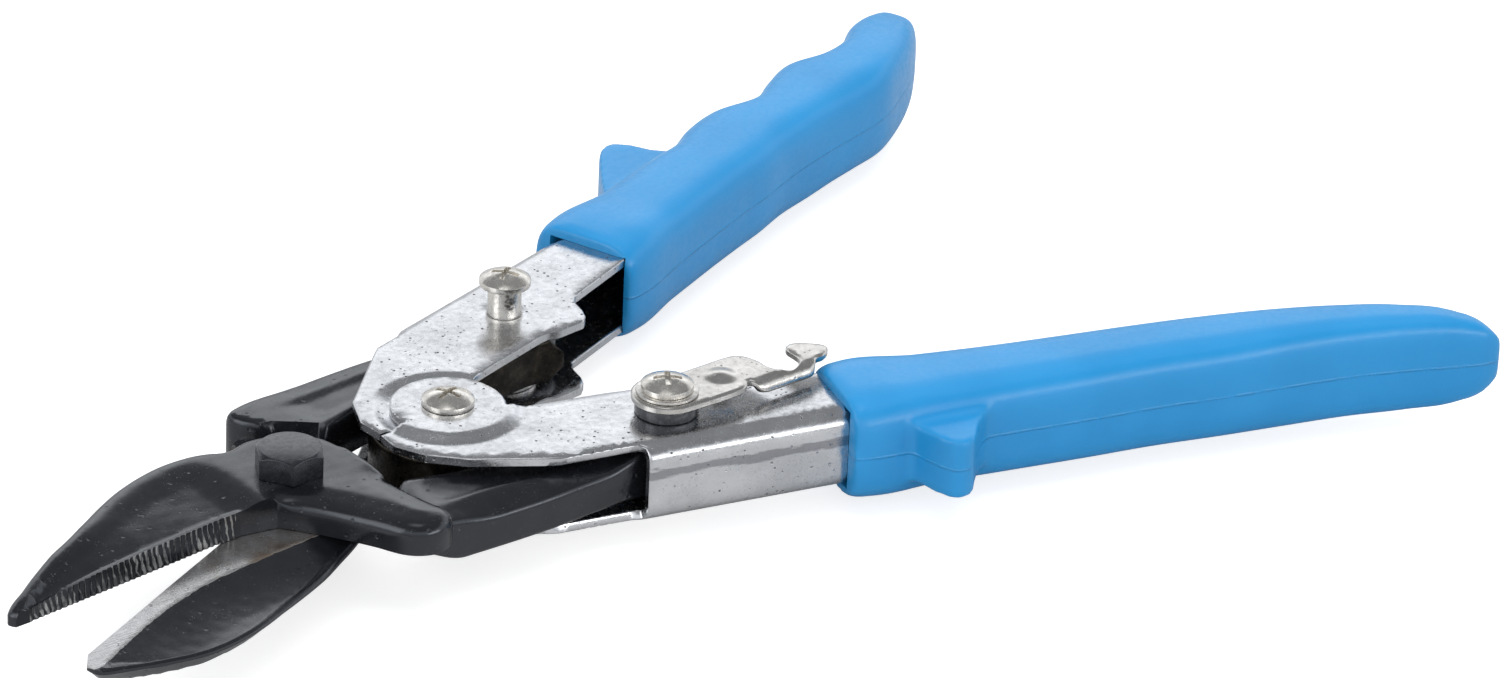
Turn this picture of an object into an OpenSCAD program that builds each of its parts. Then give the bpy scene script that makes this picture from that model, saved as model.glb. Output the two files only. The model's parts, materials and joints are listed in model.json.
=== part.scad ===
// Compound-action metal shears: two forged jaws on a hex bolt, worked by two
// pressed-steel channel handles through a four-bar linkage, with moulded grips.
// The row is drawn with the jaws open against their stop.  X runs along the centre
// line from the jaws to the grips, +Y is the post handle's side and Z is up.  The
// origin is the lower end of the main bolt, on its axis.

/* [Linkage] */
// Main bolt to each handle pivot
jaw_link = 60.8; // [60:0.1:62]
// Centre pivot to each handle pivot
handle_link = 33.7; // [33:0.1:34]
// Angle of each jaw link from the centre line, jaws open
jaw_spread = 19.5; // [19:0.1:20]
// Angle of each handle from the centre line, jaws open
grip_spread = 17.5; // [17:0.1:18]

/* [Jaws] */
// Thickness of each jaw at its pivot
jaw_t = 5.5; // [5:0.1:6]
// Gap between the two jaws' shearing faces
shear_gap = 0.1; // [0.06:0.02:0.16]
// Thickness of the plain jaw at its rim
rim_t = 2.2; // [2:0.1:2.6]
// Thickness of the plain jaw's blade inside the rim
blade_t = 3.8; // [3.4:0.1:4.4]
// Height of the serrated cutting face
edge_t = 3.3; // [2.5:0.1:4]
// Pitch of the serrations
serration_pitch = 1.1; // [0.9:0.1:2]
// Half thickness of the shanks inside the channels
shank_half = 4.0; // [3.6:0.1:4.1]

/* [Handles] */
// Outside height of the pressed channels
channel_h = 13.4; // [13:0.1:14]
// Thickness of the pressed sheet
sheet_t = 1.6; // [1.4:0.1:1.8]
// Outside bend radius of the channels
bend_r = 3.0; // [2.4:0.1:3.4]
// Radius of the lapped discs at the centre pivot
lap_r = 9.0; // [8.6:0.1:9.4]
// Half height of the moulded grips
grip_half_h = 8.8; // [8.4:0.1:9.2]

/* [Hardware] */
// Main bolt shank radius
bolt_r = 3.0; // [2.8:0.1:3.2]
// Width across the flats of the bolt head and nut
hex_af = 9.8; // [9.6:0.1:10]
// Radius of the handle pivot barrels
barrel_r = 2.7; // [2.5:0.1:2.9]
// Radius of the pan screw heads
screw_head_r = 4.1; // [3.8:0.1:4.4]
// Height of the catch post above the channel
post_h = 5.1; // [4.8:0.1:5.6]
// Running clearance on radius at the pivots
pivot_clear = 0.05; // [0.03:0.01:0.08]
// Extra radius of the post hole in the plain jaw's shank
post_slack = 0.6; // [0.5:0.1:0.8]

/* [Hidden] */

$fn = 64;
eps = 0.05;

// Levels, measured from the shear plane unless noted
plate_out = channel_h / 2;
plate_in = plate_out - sheet_t;
washer_t = plate_in - shank_half - 2 * eps;
nut_washer_t = 0.9;
nut_t = 4.2;
bolt_tail = 0.3;
bolt_head_t = 4.0;
mid_z = jaw_t + eps + nut_washer_t + nut_t + bolt_tail;
joggle = 0.85;
disc_high = plate_in + joggle;
disc_low_top = plate_out - joggle + 0.05;
disc_low = disc_low_top - sheet_t;
head_dome_t = 1.9;
latch_t = 1.3;
latch_gap = 2.1;
latch_z = plate_out + latch_gap;
washer_top_t = 0.5;

// Linkage points
half_gap = jaw_link * sin(jaw_spread);
post_angle = asin(half_gap / handle_link);
centre_x = jaw_link * cos(jaw_spread) - handle_link * cos(post_angle);
post_at = handle_link * [cos(post_angle - grip_spread), sin(post_angle - grip_spread)];
hex_r = hex_af / 2 / cos(30);

// Handle layout, in each handle's own frame about the centre pivot
web_y = 23.2;
web_lean = -2.5;
web_start_post = 18;
web_start_latch = 25;
channel_end = 122;
lap_clear_r = lap_r + 1.5;
lap_joint_r = lap_r + 2.7;
bend_cut = 2.2;
stop_r = 13.4;
stop_post_angle = 165.3;
stop_latch_angle = 159.2;

// Frames ------------------------------------------------------------------------

module at_jaws() translate([0, 0, mid_z]) children();

// Frame of a jaw link: origin on the main bolt, X along the link, +Y outwards
module at_plain_link() at_jaws() rotate(jaw_spread) children();
module at_serrated_link() mirror([0, 1, 0]) at_plain_link() children();

// Frame of a handle: origin on the centre pivot, X along the grip, +Y outwards
module at_post_handle() translate([centre_x, 0, mid_z]) rotate(grip_spread) children();
module at_latch_handle() mirror([0, 1, 0]) at_post_handle() children();

module at_post() at_post_handle() translate(post_at) children();
module at_latch() at_latch_handle() translate(post_at) children();
module at_centre() translate([centre_x, 0, mid_z]) children();

// Helpers -----------------------------------------------------------------------

module layer(z0, z1) translate([0, 0, z0]) linear_extrude(z1 - z0) children();

module ring(z0, z1, outer, inner) {
    translate([0, 0, z0]) difference() {
        cylinder(h = z1 - z0, r = outer);
        translate([0, 0, -1]) cylinder(h = z1 - z0 + 2, r = inner);
    }
}

module both_sides() {
    children();
    mirror([0, 0, 1]) children();
}

// Domed head with its flat face at z = 0 and its crown upwards
module domed_head(r, rim, t) {
    crown = (r * r + (t - rim) * (t - rim)) / (2 * (t - rim));
    rotate_extrude() intersection() {
        square([r, t]);
        translate([0, t - crown]) circle(r = crown, $fn = 160);
    }
}

// Cross recess cut from the crown of a head of height t
module cross_recess(t) {
    for (turn = [0, 90])
        rotate(turn + 18) translate([-2.2, -0.42, t - 1.1]) cube([4.4, 0.84, 2]);
}

// Rectangle with elliptical corners as a ring of points, for the grips' sections
function section_points(y0, y1, h, n = 32) = [
    for (i = [0:n - 1])
        let (a = 360 * (i + 0.5) / n, c = cos(a), s = sin(a), w = (y1 - y0) / 2)
        [(y0 + y1) / 2 + w * sign(c) * pow(abs(c), 0.55), h * sign(s) * pow(abs(s), 0.6)]
];

// A grip's body lofted through stations of [x, inner y, outer y, share of the full height]
module grip_body(stations, n = 32) {
    last = len(stations) - 1;
    rings = [
        for (s = stations)
            [for (p = section_points(s[1], s[2], s[3] * grip_half_h, n)) [s[0], p[0], p[1]]]
    ];
    sides = [
        for (i = [0:last - 1], k = [0:n - 1])
            [i * n + k, (i + 1) * n + k, (i + 1) * n + (k + 1) % n, i * n + (k + 1) % n]
    ];
    caps = [[for (k = [0:n - 1]) k], [for (k = [n - 1:-1:0]) last * n + k]];
    polyhedron([for (r = rings) each r], concat(caps, sides));
}

// Pressed channel ---------------------------------------------------------------

// Section of the channel with its web at y = 0 and its mouth towards -y
module channel_section(depth) {
    straight = channel_h / 2 - bend_r;
    difference() {
        union() {
            translate([-depth, -plate_out]) square([depth - bend_r, channel_h]);
            translate([-bend_r - 0.5, -straight]) square([bend_r + 0.5, 2 * straight]);
            for (s = [-1, 1]) translate([-bend_r, s * straight]) circle(r = bend_r);
        }
        translate([-depth - 1, -plate_in]) square([depth + 1 - sheet_t, 2 * plate_in]);
    }
}

// Where the web's outer face lies at x
function web_at(x) = web_y + x * tan(web_lean);

// Room that the channel takes up inside its grip
module channel_room(fit = 0.02) {
    layer(-plate_out - fit, plate_out + fit) polygon([
        [50, tail_inner[1][1] - 0.9], [tail_inner[1][0], tail_inner[1][1] - fit],
        [channel_end + fit, tail_inner[0][1] - fit], [channel_end + fit, web_at(channel_end) + 0.1],
        [50, web_at(50) + 0.1]
    ]);
}

// The bent sheet, cut to an outline and cleared round the centre pivot
module channel_sheet(outline) {
    difference() {
        intersection() {
            translate([0, web_y, 0]) rotate(web_lean) translate([-20, 0, 0]) rotate([90, 0, 90])
                linear_extrude(channel_end + 30) channel_section(30);
            layer(-plate_out - 1, plate_out + 1) polygon(outline);
        }
        translate([0, 0, -10]) cylinder(h = 20, r = lap_clear_r);
    }
}

// Lapped disc joined to the plate all along its own sector
module lap_disc(outline, z0) {
    both_sides() layer(z0, z0 + sheet_t) union() {
        circle(r = lap_r);
        intersection() {
            polygon(outline);
            circle(r = lap_joint_r);
        }
    }
}

tail_inner = [[channel_end, 11.0], [59.3, 6.5]];

// Outline of a channel: the open plates in front, the web from web_start on, the inner edge
function channel_outline(front, web_start, inner) = concat(
    front, [[web_start, web_at(web_start) - bend_cut], [web_start, 26], [channel_end, 26]],
    tail_inner, inner, [[5, 2.9]]
);
post_outline = channel_outline(
    [
        [0, 0], stop_r * [cos(stop_post_angle), sin(stop_post_angle)],
        [-11.6, 8.2], [-7.0, 13.0], [10.2, web_at(10.2) - bend_cut]
    ],
    web_start_post,
    [
        [43.2, 5.6], [41.6, 4.4], [40.0, 1.8], [38.6, 0.4], [37.0, -0.3], [31.8, 0.9],
        [30.6, 1.9], [28.6, 2.2], [web_start_post, 2.6]
    ]
);
latch_outline = channel_outline(
    [
        [0, 0], stop_r * [cos(stop_latch_angle), sin(stop_latch_angle)],
        [-11.9, 9.0], [-8.4, 13.1], [-2.6, 16.5], [11.0, web_at(11.0) - bend_cut]
    ],
    web_start_latch,
    [[38.0, 3.1], [web_start_latch, 2.6]]
);

module post_channel() color("gainsboro") at_post_handle() difference() {
    union() {
        channel_sheet(post_outline);
        lap_disc(post_outline, disc_low);
    }
    translate([0, 0, -10]) cylinder(h = 20, r = barrel_r + 0.3 + pivot_clear);
    translate([post_at[0], post_at[1], -10]) cylinder(h = 20, r = barrel_r + 0.02);
}

module latch_channel() color("gainsboro") at_latch_handle() difference() {
    union() {
        channel_sheet(latch_outline);
        lap_disc(latch_outline, disc_high);
    }
    translate([0, 0, -10]) cylinder(h = 20, r = barrel_r + 0.3 + 0.02);
    translate([post_at[0], post_at[1], -10]) cylinder(h = 20, r = barrel_r + 0.02);
}

// Grips ------------------------------------------------------------------------

post_stations = [
    [58.6, 5.0, 23.6, 0.95], [61, 4.6, 24.2, 1], [75, 5.8, 23.2, 1], [92, 7.1, 23.6, 1],
    [97, 7.4, 23.4, 1], [103, 7.5, 25.0, 1], [111, 8.3, 25.4, 1], [120.5, 8.5, 22.4, 1],
    [127, 8.3, 24.2, 1], [134, 7.9, 25.4, 1], [141, 8.0, 22.8, 1], [147.5, 9.6, 22.4, 1],
    [154, 11.6, 24.8, 0.96], [160, 14.4, 25.0, 0.88], [164, 17.0, 24.4, 0.72], [166.4, 19.8, 23.4, 0.45]
];
latch_stations = [
    [58.6, 4.8, 23.6, 0.95], [61, 4.0, 24.0, 1], [75, 5.4, 23.2, 1], [88, 6.4, 22.9, 1],
    [100, 6.8, 22.7, 1], [110, 7.1, 22.3, 1], [124, 7.8, 22.5, 1], [134, 9.0, 22.3, 1],
    [145, 10.9, 22.4, 0.98], [155, 13.6, 23.4, 0.95], [163, 16.8, 24.6, 0.85],
    [167.6, 19.6, 25.0, 0.66], [170, 22.0, 24.6, 0.42]
];
post_guard = [[76, 20], [79.5, 24.2], [92, 33.6], [95.2, 33.8], [97, 31.4], [98, 26.8], [101, 20]];
latch_guard = [[65.4, 20], [67.8, 24], [71.6, 31.6], [74.6, 31.8], [77, 28], [80, 24], [86, 20]];

module grip(stations, guard) difference() {
    union() {
        grip_body(stations);
        layer(-5, 5) polygon(guard);
    }
    channel_room();
}

module post_grip() color("dodgerblue") at_post_handle() grip(post_stations, post_guard);
module latch_grip() color("dodgerblue") at_latch_handle() grip(latch_stations, latch_guard);

// Jaws -------------------------------------------------------------------------

serrated_rim = [
    [-56.0, -7.9], [-56.6, -6.7], [-55.4, -5.2], [-52.5, -3.8], [-48, -1.3], [-43.8, 0.9], [-39.4, 2.9],
    [-35, 5.2], [-30, 8.0], [-25, 10.4], [-20, 12.1], [-15, 13.1], [-10, 13.0], [-7, 12.3],
    [-4, 11.0], [0, 11.9], [4, 11.3], [8, 9.4], [10.6, 6.0], [11.6, 2.0]
];
serrated_neck = [
    [11.6, -10], [12.2, -15], [12.6, -19], [12.4, -25.5], [9.5, -27.0], [6.5, -26.2],
    [4.2, -23.4], [2.6, -19], [-1.2, -13.5], [-4.5, -8.4], [-6.5, -5.8]
];
serrated_edge = [[-12.3, -4.6], [-17, -4.9], [-30, -6.0], [-40, -6.8], [-54, -7.9]];
serrated_hollow = [
    [-53.5, -6.0], [-46, -2.0], [-38, 1.4], [-30, 5.2], [-25, 7.2], [-20, 8.4], [-15, 8.6],
    [-10, 6.6], [-7.5, 3.4], [-8.5, -1.5], [-12.5, -4.0], [-17, -4.4], [-30, -5.5],
    [-40, -6.3], [-52, -7.2]
];
plain_head = [
    [-52, -20.5], [-40, -15.2], [-30, -10.7], [-17, -5.0], [-12.4, -2.2], [-12, 3], [-9, 8.6],
    [-4, 12.4], [0.5, 16.2], [3.6, 19.4], [8.2, 21.2], [12.6, 18.6], [13.6, 11.0], [12.6, 4.0],
    [12.6, -3.0], [9.6, -9.0], [4.6, -13.4], [0, -16.5], [-4, -18.7], [-10, -22.0],
    [-20, -26.0], [-28, -28.8], [-36, -29.9], [-43.5, -28.7], [-50, -26.6], [-53.4, -25.2],
    [-54, -23.0]
];
plain_hollow = [
    [-49.6, -25.4], [-48, -22.9], [-45, -21.4], [-40, -18.7], [-35, -16.6], [-30, -15],
    [-25, -13.7], [-20, -13], [-15, -12.7], [-10, -13.3], [-6, -15.4], [-10, -20.6],
    [-20, -24.8], [-28, -27.6], [-36, -28.6], [-43, -27.6]
];
plain_blade = [
    [-50.4, -22.4], [-40, -17.6], [-30, -13.1], [-17, -7.4], [-11, -4], [-5, -8], [-2, -15.4],
    [-10, -19.6], [-20, -23.6], [-28, -26.4], [-36, -27.5], [-43, -26.5], [-49, -24.6]
];
plain_hub = [
    [-12.4, -2.2], [-12, 3], [-9, 8.6], [-4, 12.4], [0.5, 16.2], [3.6, 19.4], [8.2, 21.2],
    [12.6, 18.6], [13.6, 11.0], [12.6, 4.0], [11.8, -2.6], [8.6, -8.0], [3.8, -12.0], [-1, -14.8],
    [-6, -16.6], [-10, -12]
];
shank = [
    [16.2, 4.6], [28, 3.8], [40, 0.5], [52, -3.4], [59, -5.4], [66, -6.2], [68.6, -4.6],
    [69.8, -1.8], [69.6, 3.0], [67.0, 5.9], [60.8, 6.6], [46, 7.8], [40, 10.4], [33.6, 13.9],
    [23.7, 15.9], [13.9, 17.9], [10.4, 17.4], [12.4, 12.0]
];
step_r = 17.4;

// Shank of one jaw, in its link's frame: full thickness beyond the step
module shank_blank(slack) {
    difference() {
        union() {
            difference() {
                layer(-shank_half, shank_half) polygon(shank);
                translate([0, 0, -10]) cylinder(h = 20, r = step_r);
            }
            children();
        }
        translate([jaw_link, 0, -10]) cylinder(h = 20, r = barrel_r + slack);
    }
}

module serrations() {
    count = floor(34 / serration_pitch);
    for (i = [0:count - 1])
        translate([-52.6 + i * serration_pitch, -8.0 + i * serration_pitch * 0.08, -1])
            rotate(45) cube([0.55, 0.55, jaw_t + 2]);
}

module serrated_jaw() color("dimgray") union() {
    at_jaws() difference() {
        layer(shear_gap / 2, jaw_t) polygon(concat(serrated_rim, serrated_neck, serrated_edge));
        layer(edge_t, jaw_t + 1) polygon(serrated_hollow);
        serrations();
        cylinder(h = 20, r = bolt_r + 0.02, center = true);
    }
    at_serrated_link() shank_blank(pivot_clear) intersection() {
        layer(-shank_half, -shear_gap / 2) polygon(shank);
        difference() {
            translate([0, 0, -10]) cylinder(h = 20, r = step_r + 2);
            translate([0, 0, -10]) cylinder(h = 20, r = step_r - 0.6);
        }
    }
    at_serrated_link() layer(shear_gap / 2, shank_half) intersection() {
        polygon(shank);
        circle(r = step_r + 1);
    }
}

module plain_jaw() color("dimgray") union() {
    at_jaws() difference() {
        union() {
            layer(-rim_t, -shear_gap / 2) polygon(plain_head);
            layer(-blade_t, -shear_gap) polygon(plain_blade);
            layer(-jaw_t, -shear_gap) polygon(plain_hub);
        }
        layer(-1.3, 1) polygon(plain_hollow);
        cylinder(h = 20, r = bolt_r + pivot_clear, center = true);
    }
    at_plain_link() shank_blank(post_slack);
    at_plain_link() layer(-shank_half, -shear_gap / 2) intersection() {
        polygon(shank);
        circle(r = step_r + 1);
    }
}

// Main pivot -------------------------------------------------------------------

module main_bolt() color("#2b2b2e") at_jaws() union() {
    translate([0, 0, -mid_z]) cylinder(h = mid_z + jaw_t + 1, r = bolt_r);
    translate([0, 0, jaw_t]) cylinder(h = bolt_head_t - 0.8, r = hex_r, $fn = 6);
    translate([0, 0, jaw_t + 1]) intersection() {
        cylinder(h = bolt_head_t - 1, r = hex_r, $fn = 6);
        union() {
            cylinder(h = bolt_head_t - 1.8, r = hex_r + 0.1);
            translate([0, 0, bolt_head_t - 1.8 - eps])
                cylinder(h = 0.8 + eps, r1 = hex_r + 0.1, r2 = hex_r - 0.9);
        }
    }
}

module nut_washer() color("silver") at_jaws()
    ring(-jaw_t - eps - nut_washer_t, -jaw_t - eps, 6.0, bolt_r + 0.15);

module main_nut() color("#2b2b2e") translate([0, 0, bolt_tail]) difference() {
    cylinder(h = nut_t, r = hex_r, $fn = 6);
    translate([0, 0, -1]) cylinder(h = nut_t + 2, r = bolt_r + 0.02);
}

// Opening spring: a bent leaf round the centre pivot, its legs along the shanks ----

spring_w = 3.7;
spring_t = 0.9;
spring_bow_r = 12.2;
spring_open_angle = 96;

// Point of a jaw link's frame, seen in the row's plan
function link_point(p) = [
    p[0] * cos(jaw_spread) - p[1] * sin(jaw_spread),
    p[0] * sin(jaw_spread) + p[1] * cos(jaw_spread)
];
function bow_points(r) = [
    for (a = [180:-7:spring_open_angle]) [centre_x + r * cos(a), r * sin(a)]
];
leg_outer = [[36, 1.1], [40, -0.1], [52, -4.0], [59.8, -6.0], [64.2, -9.0]];
leg_inner = [[36, 0.2], [40, -1.0], [52, -4.9], [59.4, -6.9], [63.4, -9.6]];
spring_outer = concat(bow_points(spring_bow_r), [for (p = leg_outer) link_point(p)]);
spring_inner = concat(bow_points(spring_bow_r - spring_t), [for (p = leg_inner) link_point(p)]);

// A half line of the leaf with its mirror image in front of it, as one open line
function both_legs(line) = concat(
    [for (i = [len(line) - 1:-1:1]) [line[i][0], -line[i][1]]], line
);
function reversed(line) = [for (i = [len(line) - 1:-1:0]) line[i]];

module opening_spring() color("#6e5a32") at_jaws() layer(-spring_w, spring_w)
    polygon(concat(both_legs(spring_outer), reversed(both_legs(spring_inner))));

// Pivots of the handles ----------------------------------------------------------

// Barrel with a domed head under the lower plate and a threaded blind hole
module barrel(r, under, top, head_r) {
    difference() {
        union() {
            translate([0, 0, -under]) cylinder(h = under + top, r = r);
            translate([0, 0, -under]) mirror([0, 0, 1]) domed_head(head_r, 0.5, head_dome_t);
        }
        translate([0, 0, top - 9]) cylinder(h = 10, r = r - 0.78);
    }
}

// Pan-head cross screw seated at z = 0
module pan_screw(thread_r, length, rim, t) {
    difference() {
        union() {
            domed_head(screw_head_r, rim, t);
            translate([0, 0, -length]) cylinder(h = length + 0.3, r = thread_r);
        }
        cross_recess(t);
    }
}

module post_barrel() color("silver") at_post()
    barrel(barrel_r, plate_out + eps, plate_out + post_h, 4.4);

module post_screw() color("silver") at_post() translate([0, 0, plate_out + post_h + eps])
    pan_screw(barrel_r - 0.8, 7, 0.9, 2.1);

module shank_washers() both_sides()
    ring(shank_half + eps, shank_half + eps + washer_t, 5.4, barrel_r + pivot_clear);

module post_shank_washers() color("darkgray") at_post() shank_washers();
module latch_shank_washers() color("darkgray") at_latch() shank_washers();

latch_stack_top = latch_z + latch_t + eps + washer_top_t;

module latch_barrel() color("silver") at_latch()
    barrel(barrel_r, plate_out + eps, latch_stack_top - eps, 4.4);

module latch_spacer() color("dimgray") at_latch()
    ring(plate_out + eps, latch_z - eps, 5.0, barrel_r + 0.02);

module latch_washer() color("silver") at_latch()
    ring(latch_z + latch_t + eps, latch_stack_top, 4.9, barrel_r + 0.02);

module latch_screw() color("silver") at_latch() translate([0, 0, latch_stack_top + eps])
    pan_screw(barrel_r - 0.8, 7, 0.9, 2.1);

module centre_barrel() color("silver") at_centre()
    barrel(barrel_r + 0.3, disc_high + sheet_t + eps, disc_high + sheet_t - eps, 4.6);

module centre_thrust_washers() color("darkgray") at_centre() both_sides()
    ring(disc_low - 0.35, disc_low - eps, 5.2, barrel_r + 0.3 + pivot_clear);

module centre_screw() color("silver") at_centre()
    translate([0, 0, disc_high + sheet_t + eps]) pan_screw(barrel_r - 0.5, 7, 0.9, 2.1);

// Latch ------------------------------------------------------------------------

// Plan of the latch in the row's own directions, about its pivot
latch_end_r = 5.6;
latch_back = [
    [1.0, 5.5], [4.5, 4.1], [8.5, 3.9], [15.4, 3.7], [17.2, 2.6], [18.1, 0.2]
];
latch_hook = [
    [23.9, -1.4], [24.2, 0.6], [25.7, 1.5], [27.6, 0.7], [30.0, -1.9], [29.6, -3.4],
    [27.2, -5.2], [24.4, -6.2], [12.6, -6.2], [8, -6.2], [0.6, -5.57]
];
notch_at = [21.1, -1.9];
notch_r = barrel_r + 0.25;
flange_drop = 1.9;

module latch_plate() color("silver") at_jaws()
    translate([centre_x + handle_link * cos(post_angle), -half_gap, latch_z]) difference() {
        union() {
            linear_extrude(latch_t) difference() {
                union() {
                    circle(r = latch_end_r);
                    polygon(concat(latch_back, [[18.1, -2], [23.9, -2]], latch_hook));
                }
                translate(notch_at) circle(r = notch_r);
                translate([notch_at[0] - notch_r, notch_at[1]]) square([2 * notch_r, 8]);
            }
            translate([12.6, -6.2, latch_t - flange_drop - latch_t])
                cube([11.8, 1.2, flange_drop + latch_t]);
        }
        translate([0, 0, -1]) cylinder(h = 4, r = barrel_r + pivot_clear);
    }

serrated_jaw();
main_bolt();
plain_jaw();
nut_washer();
main_nut();
opening_spring();
post_channel();
post_grip();
post_barrel();
post_screw();
post_shank_washers();
latch_channel();
latch_grip();
latch_barrel();
latch_shank_washers();
latch_spacer();
latch_plate();
latch_washer();
latch_screw();
centre_barrel();
centre_thrust_washers();
centre_screw();
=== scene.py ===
import json
import math

import bmesh
import bpy
import numpy as np
from mathutils import Matrix, Vector, geometry


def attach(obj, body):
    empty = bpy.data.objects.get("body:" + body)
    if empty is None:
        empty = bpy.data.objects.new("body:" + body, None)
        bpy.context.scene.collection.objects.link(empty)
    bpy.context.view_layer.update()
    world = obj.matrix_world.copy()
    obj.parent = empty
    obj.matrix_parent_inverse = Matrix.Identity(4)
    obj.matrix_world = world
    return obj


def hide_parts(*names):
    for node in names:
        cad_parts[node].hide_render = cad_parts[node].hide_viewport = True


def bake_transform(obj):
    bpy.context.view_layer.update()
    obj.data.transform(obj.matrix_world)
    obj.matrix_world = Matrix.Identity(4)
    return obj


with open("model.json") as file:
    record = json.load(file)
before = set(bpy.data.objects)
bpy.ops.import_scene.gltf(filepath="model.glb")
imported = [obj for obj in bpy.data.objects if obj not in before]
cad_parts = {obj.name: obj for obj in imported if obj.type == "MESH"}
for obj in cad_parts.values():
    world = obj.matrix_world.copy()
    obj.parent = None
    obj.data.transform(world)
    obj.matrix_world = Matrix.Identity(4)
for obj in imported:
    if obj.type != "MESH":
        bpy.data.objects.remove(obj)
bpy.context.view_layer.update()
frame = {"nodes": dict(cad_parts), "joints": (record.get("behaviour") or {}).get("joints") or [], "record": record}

# Places and sizes in millimetres, in the row's frame unless a comment says otherwise.
# A handle's own frame has its origin at the centre pivot and X along the handle; a link's has its origin at
# the main bolt and X through the pivot in the shank. The latch side is the mirror image of the post side.
JOINT = {j["name"]: [1000 * c for c in j["pos_m"]] for j in frame["joints"]}
MID = JOINT["main_bolt_pivot"][2]
CENTRE = JOINT["handle_squeeze"]
LATCH = JOINT["serrated_jaw_pivot"]
POST = [LATCH[0], -LATCH[1], MID]
GRIP_SPREAD, JAW_SPREAD = 17.5, 19.5  # degrees from the X axis to each handle and link
PLATE, SHEET, BEND = 6.7, 1.6, 3.0  # outer face of a channel's plate above MID, its sheet and its bend radius
WEB_Y, WEB_LEAN, END = 23.2, -2.5, 122.0  # a channel's web: distance out, lean in degrees, rear end
GRIP_H = 8.8  # half of a grip's height
SHANK_PIVOT, BARREL = 60.8, 2.7  # pivot's place along a link, and the barrel's radius there
HALF_SHANK, OPEN_SLACK = 4.0, 0.6  # half of a shank's thickness, and the slack at the linkage's open pivot
DISC, BOLT_HOLE = 9.0, 3.03  # radii of the channels' lapped discs and of the main bolt's hole
TOOTH = 1.1  # from one tooth to the next


# Small geometry tools --------------------------------------------------------------
def turned(p, deg):
    """Points in the plane turned about the origin."""
    p = np.atleast_2d(np.asarray(p, float))
    c, s = math.cos(math.radians(deg)), math.sin(math.radians(deg))
    q = p.copy()
    q[:, 0], q[:, 1] = p[:, 0] * c - p[:, 1] * s, p[:, 0] * s + p[:, 1] * c
    return q


def handle_to_row(p, side):
    """A handle's own millimetres to the row's: side is 1 for the post handle and -1 for the latch handle."""
    q = turned(p, GRIP_SPREAD)
    q[:, 0] += CENTRE[0]
    q[:, 1] *= side
    q[:, 2] += MID
    return q


def link_to_row(p, side):
    """A link's own millimetres to the row's."""
    q = turned(p, JAW_SPREAD)
    q[:, 1] *= side
    q[:, 2] += MID
    return q


def jaws_to_row(p):
    """Heights above the shear plane to the row's."""
    return np.asarray(p, float) + [0, 0, MID]


def at_radius(r, a):
    """The point at radius r and a degrees round the origin."""
    return [r * math.cos(math.radians(a)), r * math.sin(math.radians(a))]


def circle(r, n, at=(0.0, 0.0)):
    """A closed ring of n points."""
    turns = np.linspace(0, 2 * math.pi, n, False)
    return np.array([[at[0] + r * math.cos(t), at[1] + r * math.sin(t)] for t in turns])


def curve(points, step, corners=(), closed=True):
    """A smooth line through the points, sharp at the corners, with points about step apart."""
    p = [np.array(q, float) for q in points]
    n, out = len(p), []
    for i in range(n if closed else n - 1):
        a, b = p[i], p[(i + 1) % n]
        before = p[i - 1] if (i > 0 or closed) and i not in corners else a - (b - a)
        k = (i + 1) % n
        after = p[(i + 2) % n] if (i + 2 < n or closed) and k not in corners else b + (b - a)
        length = np.linalg.norm(b - a)
        ta = (b - before) / (np.linalg.norm(b - before) + 1e-9) * length
        tb = (after - a) / (np.linalg.norm(after - a) + 1e-9) * length
        m = max(1, int(round(length / step)))
        for j in range(m):
            t = j / m
            out.append((2 * t**3 - 3 * t**2 + 1) * a + (t**3 - 2 * t**2 + t) * ta
                       + (3 * t**2 - 2 * t**3) * b + (t**3 - t**2) * tb)
    if not closed:
        out.append(p[-1])
    return np.array(out)


def resampled(points, step, closed=True):
    """Straight lines through the points, with points about step apart."""
    n, out = len(points), []
    for i in range(n if closed else n - 1):
        a, b = np.array(points[i], float), np.array(points[(i + 1) % n], float)
        m = max(1, int(round(np.linalg.norm(b - a) / step)))
        out += [a + (b - a) * j / m for j in range(m)]
    if not closed:
        out.append(np.array(points[-1], float))
    return np.array(out)


def distance(p, line, closed=True):
    """Distance from each point to a line of points, in the plane."""
    p, a = np.asarray(p, float)[:, :2], np.asarray(line, float)
    b = np.roll(a, -1, 0) if closed else a[1:]
    a = a if closed else a[:-1]
    best = np.full(len(p), 1e9)
    for u, v in zip(a, b):
        d = v - u
        t = np.clip(((p - u) @ d) / (d @ d + 1e-12), 0, 1)
        best = np.minimum(best, np.linalg.norm(p - u - t[:, None] * d, axis=1))
    return best


def inside(p, line):
    """Which points lie inside a closed line."""
    p, a = np.asarray(p, float), np.asarray(line, float)
    hit = np.zeros(len(p), bool)
    for (x0, y0), (x1, y1) in zip(a, np.roll(a, -1, 0)):
        if y0 != y1:
            cross = (y0 > p[:, 1]) != (y1 > p[:, 1])
            hit ^= cross & (p[:, 0] < (x1 - x0) * (p[:, 1] - y0) / (y1 - y0) + x0)
    return hit


def ease(t):
    """Goes smoothly from 0 to 1 while t does, and stays there."""
    t = np.clip(t, 0, 1)
    return t * t * (3 - 2 * t)


def wobble(p, size, seed=0.0):
    """Smooth irregular values from -1 to 1 over the plane, with features about size apart."""
    x, y = np.asarray(p, float)[:, 0] / size, np.asarray(p, float)[:, 1] / size
    total = np.zeros(len(x))
    for k in range(1, 6):
        a = seed * 1.7 + k * 2.399
        total += np.sin(x * math.cos(a) * k * 0.9 + y * math.sin(a) * k * 1.1 + a * 5) / k**0.6
    return total / 2.6


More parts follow.
